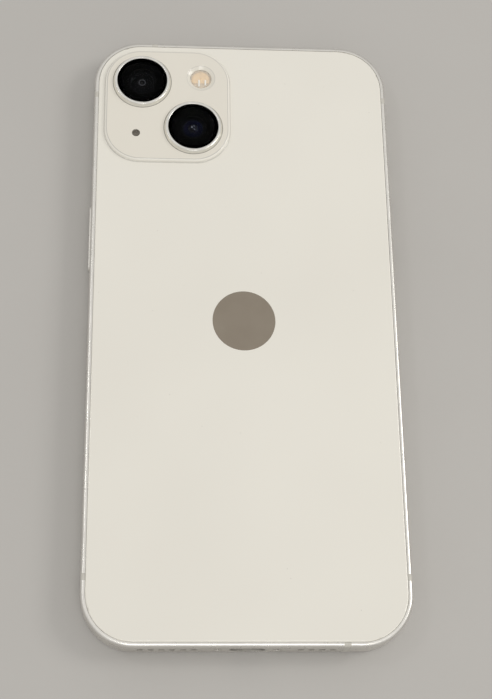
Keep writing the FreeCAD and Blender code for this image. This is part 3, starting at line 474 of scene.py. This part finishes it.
def add_piece(name, build, finish, body=PHONE):
    """Turns a bmesh in millimetres into a finished piece that rides on a body."""
    bmesh.ops.remove_doubles(build, verts=build.verts, dist=WELD)
    bmesh.ops.recalc_face_normals(build, faces=build.faces)
    bmesh.ops.scale(build, vec=(MM, MM, MM), verts=build.verts)
    for edge in build.edges:
        edge.smooth = len(edge.link_faces) == 2 and edge.calc_face_angle() < CREASE
    for face in build.faces:
        face.smooth = True
    mesh = bpy.data.meshes.new(name)
    build.to_mesh(mesh)
    build.free()
    mesh.materials.append(finish)
    piece = bpy.data.objects.new(name, mesh)
    bpy.context.scene.collection.objects.link(piece)
    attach(piece, body)


def lathe(build, centre, profile, steps=FINE_TURN):
    """Turns a profile of (radius, height) round a vertical axis.  It closes on itself."""
    rings = []
    for radius, height in profile:
        if radius == 0:
            rings.append([build.verts.new((centre[0], centre[1], height))] * steps)
            continue
        ring = []
        for step in range(steps):
            angle = 2 * math.pi * step / steps
            place = (centre[0] + radius * math.cos(angle), centre[1] + radius * math.sin(angle), height)
            ring.append(build.verts.new(place))
        rings.append(ring)
    for near, far in zip(rings, rings[1:] + rings[:1]):
        for step in range(steps):
            other = (step + 1) % steps
            corners = [near[step], near[other], far[other], far[step]]
            corners = [v for k, v in enumerate(corners) if v not in corners[:k]]
            if len(corners) > 2:
                build.faces.new(corners)


def washer(inner, outer, low, high):
    """Profile of a flat ring."""
    return [(inner, low), (inner, high), (outer, high), (outer, low)]


def button(radius, foot, rim, crown, count=14):
    """Profile of a disc with a spherical cap on top, from the cap's rim to the disc's foot."""
    rise = crown - rim
    bend = (radius * radius + rise * rise) / (2 * rise)
    most = math.asin(radius / bend)
    turns = [most * (1 - k / count) for k in range(count)]
    cap = [(bend * math.sin(turn), crown - bend * (1 - math.cos(turn))) for turn in turns]
    return cap + [(0, crown), (0, foot), (radius, foot)]


def tube(build, points, radius, sides=6):
    """Bar with closed ends along a list of points."""
    rings = []
    for k, point in enumerate(points):
        ahead = (points[min(k + 1, len(points) - 1)] - points[max(k - 1, 0)]).normalized()
        side = ahead.cross(Vector((0, 0, 1))).normalized()
        above = side.cross(ahead)
        ring = []
        for step in range(sides):
            angle = 2 * math.pi * step / sides
            ring.append(build.verts.new(point + radius * (math.cos(angle) * side + math.sin(angle) * above)))
        rings.append(ring)
    for near, far in zip(rings, rings[1:]):
        for step in range(sides):
            other = (step + 1) % sides
            build.faces.new((near[step], near[other], far[other], far[step]))
    build.faces.new(rings[0][::-1])
    build.faces.new(rings[-1])


WEAVE_SWING = 0.55
WEAVE_STEPS = 4


def weave(build, centre, reach, pitch, wire, height):
    """Woven wires over an opening; reach gives the half length of a wire at an offset, per direction."""
    for direction in (0, 1):
        half = reach(direction, None)
        count = int(half / pitch)
        for index in range(-count, count + 1):
            offset = index * pitch
            length = reach(1 - direction, offset)
            if length < pitch:
                continue
            steps = max(WEAVE_STEPS, int(2 * length / pitch * WEAVE_STEPS))
            points = []
            for step in range(steps + 1):
                along = -length + 2 * length * step / steps
                swing = math.cos(math.pi * along / pitch) * (1 if index % 2 else -1)
                swing *= 1 if direction else -1
                flat = (offset, along) if direction == 0 else (along, offset)
                level = height + swing * wire * WEAVE_SWING
                points.append(Vector((centre[0] + flat[0], centre[1] + flat[1], level)))
            tube(build, points, wire / 2)


def prism(build, flat, low, high):
    """Closed slab over a flat outline."""
    upper = [build.verts.new((x, y, high)) for x, y in flat]
    lower = [build.verts.new((x, y, low)) for x, y in flat]
    build.faces.new(upper)
    build.faces.new(lower[::-1])
    for k in range(len(flat)):
        other = (k + 1) % len(flat)
        build.faces.new((upper[k], lower[k], lower[other], upper[other]))


def rounded_outline(centre, half, corner, steps=10):
    """Points of a rectangle with round corners."""
    points = []
    for quarter, (x, y) in enumerate(QUARTERS):
        for step in range(steps + 1):
            angle = math.pi / 2 * (quarter + step / steps)
            points.append((
                centre[0] + x * (half[0] - corner) + corner * math.cos(angle),
                centre[1] + y * (half[1] - corner) + corner * math.sin(angle),
            ))
    return points


def body_outline(margin):
    """Points of the body's outline, set in by a margin."""
    half = (BODY_HALF.x - margin, BODY_HALF.y - margin)
    return rounded_outline((0, 0), half, BODY_CORNER - margin, BODY_CORNER_STEPS)


def half_disc(centre, side, radius, floor, gap):
    """Points of the left or right half of a disc with its bottom cut off straight."""
    steps = 24
    start = math.asin(floor / radius)
    end = math.acos(gap / radius)
    turns = [start + (end - start) * step / steps for step in range(steps + 1)]
    flat = [(radius * math.cos(turn), radius * math.sin(turn)) for turn in turns] + [(gap, floor)]
    return [(centre[0] + side * x, centre[1] + y) for x, y in flat]


# ------------------------------------------------------------------ pieces behind the lens covers
# Lens: body that its inner pieces ride on, radius of its mouth, radius and rise of its inner element,
# and colour of its coating.
LENSES = {
    "wide_camera": (FOCUS, 3.3, 0.30, 0.12, (0.0012, 0.0012, 0.0014)),
    "ultrawide_camera": (PHONE, 2.9, 1.30, 0.50, (0.0010, 0.0013, 0.0070)),
}
# Gaps that keep two faces out of one plane.
SKIN = 0.01
HAIR = 0.005
# Mask under the cover, ink round its edge, stepped baffle, and the two elements.  Heights of the
# baffle and the elements are above the barrel's face.
MASK_THICK = 0.04
MASK_RADIUS = 5.95
MASK_MARGIN = 0.25
EDGE_INK_THICK = 0.02
BAFFLE_WALL = 0.35
BAFFLE_TALL = 0.34
BAFFLE_LEDGE = 0.15
BAFFLE_TREAD = 0.22
BAFFLE_RISER = 0.08
BAFFLE_STEPS = 4
ELEMENT_GAP = 0.03
ELEMENT_RIM = 0.02
ELEMENT_CROWN = 0.14
INNER_FOOT = 0.03
INNER_RIM = 0.08


def make_lens_ink(name, mouth):
    """Black mask under a cover and black sleeve round its edge."""
    cover = name + "_cover"
    spot = middle(cover)
    under = bottom_of(cover)
    ink = material(name + "_ink", (0.0010, 0.0010, 0.0010), 0.60, IOR=1.05)
    mottle(ink, (0.0008, 0.0008, 0.0008), (0.0012, 0.0012, 0.0012), 900.0)
    mask = bmesh.new()
    level = under - SKIN
    lathe(mask, spot, washer(mouth + MASK_MARGIN, MASK_RADIUS, level - MASK_THICK, level))
    add_piece(name + "_mask", mask, ink)
    sleeve = bmesh.new()
    inner = radius_of(cover) + HAIR
    lathe(sleeve, spot, washer(inner, inner + EDGE_INK_THICK, under, top_of(cover) + SKIN))
    add_piece(name + "_edge_ink", sleeve, ink)


def make_baffle(name, body, mouth):
    """Stepped black funnel on the barrel.  Gives the radius of its narrowest step."""
    face = top_of(name + "_barrel")
    black = material(name + "_baffle_black", (0.0015, 0.0015, 0.0018), 0.42, IOR=1.15)
    mottle(black, (0.0012, 0.0012, 0.0014), (0.0024, 0.0024, 0.0028), 1500.0)
    smudge(black, 0.34, 0.5, 2500.0)
    outer = mouth + BAFFLE_WALL
    top = face + BAFFLE_TALL
    profile = [(outer, face + HAIR), (outer, top)]
    for k in range(BAFFLE_STEPS):
        wide = mouth + BAFFLE_LEDGE - BAFFLE_TREAD * k
        deep = top - BAFFLE_RISER * k
        profile += [(wide, deep), (wide, deep - BAFFLE_RISER)]
    profile.append((wide, face + HAIR))
    steps = bmesh.new()
    lathe(steps, middle(name + "_cover"), profile)
    add_piece(name + "_baffle", steps, black, body)
    return wide


def make_elements(name, body, wide, nose, rise, tint):
    """Wide coated front element with the small glossy one that shows in its middle."""
    spot = middle(name + "_cover")
    face = top_of(name + "_barrel")
    coat = material(name + "_coating", tint, 0.03, IOR=1.13)
    ripple = spread(coat, noise(coat, 420.0, 2.0), 0, 1)
    paint(coat, "Base Color", blend_colours(coat, ripple, tint, brighter(tint, 1.6)))
    element = bmesh.new()
    lathe(element, spot, button(wide - ELEMENT_GAP, face + SKIN, face + ELEMENT_RIM, face + ELEMENT_CROWN))
    add_piece(name + "_front_element", element, coat, body)
    gloss = material(name + "_gloss", tint, 0.02, IOR=1.24)
    mottle(gloss, tint, brighter(tint, 1.4), 800.0)
    rim = face + INNER_RIM
    inner = bmesh.new()
    lathe(inner, spot, button(nose, face + INNER_FOOT, rim, rim + rise), MEDIUM_TURN)
    add_piece(name + "_inner_element", inner, gloss, body)


# Dark ring under a lens surround, a painted contact shadow: how far it reaches in and out from the surround's
# foot, at its base and at its top, and how far it is sunk into the plateau and stands out of it.
CONTACT_SHADOW_INWARD = 0.05
CONTACT_SHADOW_BASE = 0.075
CONTACT_SHADOW_LIP = 0.03
CONTACT_SHADOW_SINK = 0.005
CONTACT_SHADOW_RISE = 0.035


def make_contact_shadow(name):
    """Thin dark ring where a lens surround meets the glass, a painted contact shadow."""
    finish = material(name + "_contact_shadow_paint", (0.10, 0.095, 0.085), 0.6)
    mottle(finish, (0.09, 0.085, 0.075), (0.12, 0.115, 0.105), 900.0)
    wide = radius_of(name + "_ring")
    inner = wide - CONTACT_SHADOW_INWARD
    low = PLATEAU - CONTACT_SHADOW_SINK
    high = PLATEAU + CONTACT_SHADOW_RISE
    shadow_ring = bmesh.new()
    profile = [(inner, low), (wide + CONTACT_SHADOW_BASE, low), (wide + CONTACT_SHADOW_LIP, high), (inner, high)]
    lathe(shadow_ring, middle(name + "_ring"), profile)
    add_piece(name + "_gasket", shadow_ring, finish)


IRIS_RADIUS = 0.85
IRIS_WIDE = 0.18
IRIS_SLOPE = 0.04
IRIS_THICK = 0.05
IRIS_LIFT = 0.12
IRIS_GREY = (0.10, 0.10, 0.104)


def make_iris():
    """Small stop with a bright edge that shows through the middle of the wide lens."""
    name = "wide_camera_iris"
    finish = material(name, IRIS_GREY, 0.35, 0.6)
    mottle(finish, IRIS_GREY, brighter(IRIS_GREY, 1.3), 3000.0)
    low = top_of("wide_camera_barrel") + IRIS_LIFT
    high = low + IRIS_THICK
    inner = IRIS_RADIUS - IRIS_WIDE
    profile = [(IRIS_RADIUS, low), (IRIS_RADIUS - IRIS_SLOPE, high), (inner + IRIS_SLOPE, high), (inner, low)]
    ring = bmesh.new()
    lathe(ring, middle("wide_camera_cover"), profile, MEDIUM_TURN)
    add_piece(name, ring, finish, FOCUS)


# Bright metal arcs, painted glints in the middle of the ultrawide lens: start and sweep in radians, and share
# of the radius.
GLINT_ARCS = ((0.9, 0.35, 1.0), (2.7, 0.55, 0.8), (5.2, 0.25, 1.1))
GLINT_RADIUS = 0.48
GLINT_THICK = 0.20
GLINT_LIFT = 0.62
GLINT_METAL = (0.90, 0.93, 0.98)
GLINT_STEPS = 6
GLINT_SIDES = 8


def make_glint_arcs():
    """Three short polished arcs, placed as painted glints in the middle of the ultrawide lens."""
    name = "ultrawide_camera_glint_arcs"
    finish = material(name, GLINT_METAL, 0.20, 1.0)
    mottle(finish, GLINT_METAL, brighter(GLINT_METAL, 1.3), 3000.0)
    x, y = middle("ultrawide_camera_cover")
    level = top_of("ultrawide_camera_barrel") + GLINT_LIFT
    arcs = bmesh.new()
    for start, sweep, share in GLINT_ARCS:
        radius = GLINT_RADIUS * share
        turns = [start + sweep * step / GLINT_STEPS for step in range(GLINT_STEPS + 1)]
        line = [Vector((x + radius * math.cos(turn), y + radius * math.sin(turn), level)) for turn in turns]
        tube(arcs, line, GLINT_THICK / 2, GLINT_SIDES)
    add_piece(name, arcs, finish)


def make_lenses():
    for name, (body, mouth, nose, rise, tint) in LENSES.items():
        make_lens_ink(name, mouth)
        wide = make_baffle(name, body, mouth)
        make_elements(name, body, wide, nose, rise, tint)
        make_contact_shadow(name)
    make_iris()
    make_glint_arcs()


# ------------------------------------------------------------------ flash
# Radii of the bowl are at its rim's outside and inside and at its floor.  Heights of the tiles and the
# white streaks are above the light source's board.
BOWL_RADIUS = 2.52
BOWL_MOUTH = 2.46
BOWL_FLOOR = 2.10
BOWL_SINK = 0.20
BOWL_GAP = 0.02
BOWL_THICK = 0.04
TILE_RADIUS = 2.14
TILE_FLOOR = -0.95
TILE_THICK = 0.06
TILE_GAP = 0.03
# White streak, a painted highlight in the flash's lens: place across and lower end, from the window's middle.
STREAKS = ((-0.45, -1.95), (1.10, -1.65))
STREAK_END = -0.10
STREAK_LIFT = 0.14
STREAK_RADIUS = 0.24
STREAK_STEPS = 8
STREAK_SIDES = 12
RIDGES = 5
RIDGE_FIRST = 0.5
RIDGE_PITCH = 0.42
RIDGE_HALF = 0.10
RIDGE_DEEP = 0.06


def make_flash():
    """Reflector, two phosphor tiles, two white ribs as painted highlight streaks and the ridged rings of the
    flash's lens.
    """
    spot = middle("flash_window")
    window = bottom_of("flash_window")
    board = top_of("flash_led")
    bright = material("flash_bowl_finish", (0.86, 0.70, 0.50), 0.35, 0.2)
    mottle(bright, (0.80, 0.64, 0.44), (0.88, 0.74, 0.56), 1500.0)
    mouth = window - BOWL_GAP
    floor = board - BOWL_SINK
    under = floor - BOWL_THICK
    bowl = bmesh.new()
    lathe(bowl, spot, [(BOWL_RADIUS, mouth), (BOWL_MOUTH, mouth), (BOWL_FLOOR, floor), (0, floor),
                       (0, under), (BOWL_RADIUS, under)])
    add_piece("flash_reflector", bowl, bright)
    glow = material("flash_tile_finish", (0.96, 0.68, 0.36), 0.55)
    mottle(glow, (0.94, 0.64, 0.32), (0.97, 0.73, 0.43), 3500.0)
    grain(glow, 9000.0, 0.3, GRAIN_DEPTH)
    tiles = bmesh.new()
    for side in (-1, 1):
        prism(tiles, half_disc(spot, side, TILE_RADIUS, TILE_FLOOR, TILE_GAP), board, board + TILE_THICK)
    add_piece("flash_phosphor", tiles, glow)
    # Glossy white ribs that stand for the flash's highlight streaks: painted highlights.
    white = material("flash_streak_paint", (0.93, 0.91, 0.86), 0.12)
    mottle(white, (0.90, 0.88, 0.83), (0.95, 0.94, 0.90), 2500.0)
    streaks = bmesh.new()
    for across, foot in STREAKS:
        ways = [foot + (STREAK_END - foot) * k / STREAK_STEPS for k in range(STREAK_STEPS + 1)]
        line = [Vector((spot[0] + across, spot[1] + way, board + STREAK_LIFT)) for way in ways]
        tube(streaks, line, STREAK_RADIUS, STREAK_SIDES)
    add_piece("flash_highlight_streaks", streaks, white)
    high = window - SKIN
    rings = bmesh.new()
    for k in range(RIDGES):
        radius = RIDGE_FIRST + RIDGE_PITCH * k
        profile = [(radius, high), (radius + RIDGE_HALF, high - RIDGE_DEEP), (radius + 2 * RIDGE_HALF, high)]
        lathe(rings, spot, profile, SMALL_TURN)
    add_piece("flash_lens_ridges", rings, finishes["clear_glass"])


# ------------------------------------------------------------------ meshes
# Weave: pitch of its wires, their thickness and how far it lies outside its sheet.
REAR_WEAVE = (0.27, 0.11, 0.08)
EARPIECE_WEAVE = (0.19, 0.08, 0.06)
REAR_WEAVE_MARGIN = 0.03
EARPIECE_MARGIN = (0.06, 0.05)


def make_rear_weave():
    """Woven wire over the rear microphone's hole."""
    radius = radius_of("rear_microphone_mesh") - REAR_WEAVE_MARGIN
    pitch, wire, lift = REAR_WEAVE

    def reach(_, offset):
        return radius if offset is None else math.sqrt(max(radius * radius - offset * offset, 0))

    wires = bmesh.new()
    weave(wires, middle("rear_microphone_mesh"), reach, pitch, wire, top_of("rear_microphone_mesh") + lift)
    add_piece("rear_microphone_weave", wires, finishes["mesh_metal"])


def make_earpiece_weave():
    """Woven wire over the earpiece's round-ended slot."""
    low, high = (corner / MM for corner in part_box("earpiece_mesh"))
    half = ((high.x - low.x) / 2 - EARPIECE_MARGIN[0], (high.y - low.y) / 2 - EARPIECE_MARGIN[1])
    straight = half[0] - half[1]
    pitch, wire, lift = EARPIECE_WEAVE

    def reach(direction, offset):
        """Direction 0 is along x, where the offset is in y, and 1 is the other way round."""
        if offset is None:
            return half[direction]
        if direction == 0:
            return straight + math.sqrt(max(half[1] ** 2 - offset ** 2, 0))
        over = max(abs(offset) - straight, 0)
        return math.sqrt(max(half[1] ** 2 - over ** 2, 0))

    wires = bmesh.new()
    weave(wires, middle("earpiece_mesh"), reach, pitch, wire, low.z - lift)
    add_piece("earpiece_weave", wires, finishes["black_mesh"])


# ------------------------------------------------------------------ print behind the display's glass
PRINT_THICK = 0.02
PRINT_DEPTH = 0.03
BORDER_OUTER = 1.12
BORDER_INNER = 3.35
NOTCH_Y = 67.55
NOTCH_HALF = (13.4, 2.75)
NOTCH_CORNER = 2.2
FRONT_LENS_RADIUS = 0.95
FRONT_LENS_BEVEL = 0.10
FRONT_LENS_CROWN = 0.10
FRONT_LENS_RIM = 0.06
TRIM_INNER = 1.0
TRIM_OUTER = 1.12
TRIM_DEPTH = 0.03


def make_border(ink, level):
    """Black band round the display, between two outlines of the body."""
    band = bmesh.new()
    flats = [body_outline(margin) for margin in (BORDER_OUTER, BORDER_INNER)]
    heights = (level, level + PRINT_THICK)
    loops = [[[band.verts.new((x, y, height)) for x, y in flat] for flat in flats] for height in heights]
    (low_outer, low_inner), (high_outer, high_inner) = loops
    rounds = (low_outer, low_inner, high_inner, high_outer, low_outer)
    for near, far in zip(rounds, rounds[1:]):
        for k in range(len(near)):
            other = (k + 1) % len(near)
            band.faces.new((near[k], near[other], far[other], far[k]))
    add_piece("display_border", band, ink)


def make_display_print():
    """Black print on the inside of the display's glass, with the front camera's window."""
    level = top_of("front_glass") - PRINT_DEPTH
    ink = material("display_print", (0.0015, 0.0015, 0.0015), 0.5, IOR=1.05)
    mottle(ink, (0.001, 0.001, 0.001), (0.002, 0.002, 0.002), 500.0)
    make_border(ink, level)
    notch = bmesh.new()
    prism(notch, rounded_outline((0, NOTCH_Y), NOTCH_HALF, NOTCH_CORNER), level, level + PRINT_THICK)
    add_piece("display_notch", notch, ink)
    spot = middle("front_camera")
    lens_black = material("front_lens_coating", (0.004, 0.005, 0.012), 0.04, IOR=1.5, Coat_Weight=0.4)
    mottle(lens_black, (0.004, 0.005, 0.010), (0.006, 0.007, 0.018), 900.0)
    back = level - HAIR
    window = bmesh.new()
    shoulder = (FRONT_LENS_RADIUS - FRONT_LENS_BEVEL, level - FRONT_LENS_RIM)
    profile = [(0, level - FRONT_LENS_CROWN), shoulder, (FRONT_LENS_RADIUS, back), (0, back)]
    lathe(window, spot, profile, SMALL_TURN)
    add_piece("front_camera_window", window, lens_black)
    trim = material("front_lens_trim", (0.03, 0.03, 0.035), 0.3, 0.5)
    mottle(trim, (0.02, 0.02, 0.025), (0.04, 0.04, 0.045), 900.0)
    ring = bmesh.new()
    lathe(ring, spot, washer(TRIM_INNER, TRIM_OUTER, level - TRIM_DEPTH, back), SMALL_TURN)
    add_piece("front_camera_trim", ring, trim)


# ------------------------------------------------------------------ ring switch
MARK_HALF = (0.42, 2.1)
MARK_CORNER = 0.3
MARK_THICK = 0.03
MARK_X = 34.405
MARK_LIFT = 0.50


def make_switch_mark():
    """Orange strip on the floor of the ring switch's slot, bared when the lever moves to the rear."""
    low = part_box("ring_switch_lever")[0] / MM
    orange = material("switch_mark_paint", (0.80, 0.20, 0.02), 0.45)
    mottle(orange, (0.76, 0.18, 0.015), (0.84, 0.23, 0.03), 1500.0)
    grain(orange, 9000.0, 0.15, GRAIN_DEPTH)
    strip = bmesh.new()
    spot = (0, middle("ring_switch_lever")[1])
    prism(strip, rounded_outline(spot, MARK_HALF, MARK_CORNER), 0, MARK_THICK)
    # Stands the strip on the slot's floor, facing the side.
    turn = Matrix.Rotation(math.radians(90), 4, "Y")
    place = Matrix.Translation((MARK_X, 0, low.z + MARK_LIFT))
    bmesh.ops.transform(strip, matrix=place @ turn, verts=strip.verts)
    add_piece("ring_switch_mark", strip, orange)


# ------------------------------------------------------------------ run
make_camera()
make_studio()
finishes = finish_frame()
make_lenses()
make_flash()
make_rear_weave()
make_earpiece_weave()
make_display_print()
make_switch_mark()
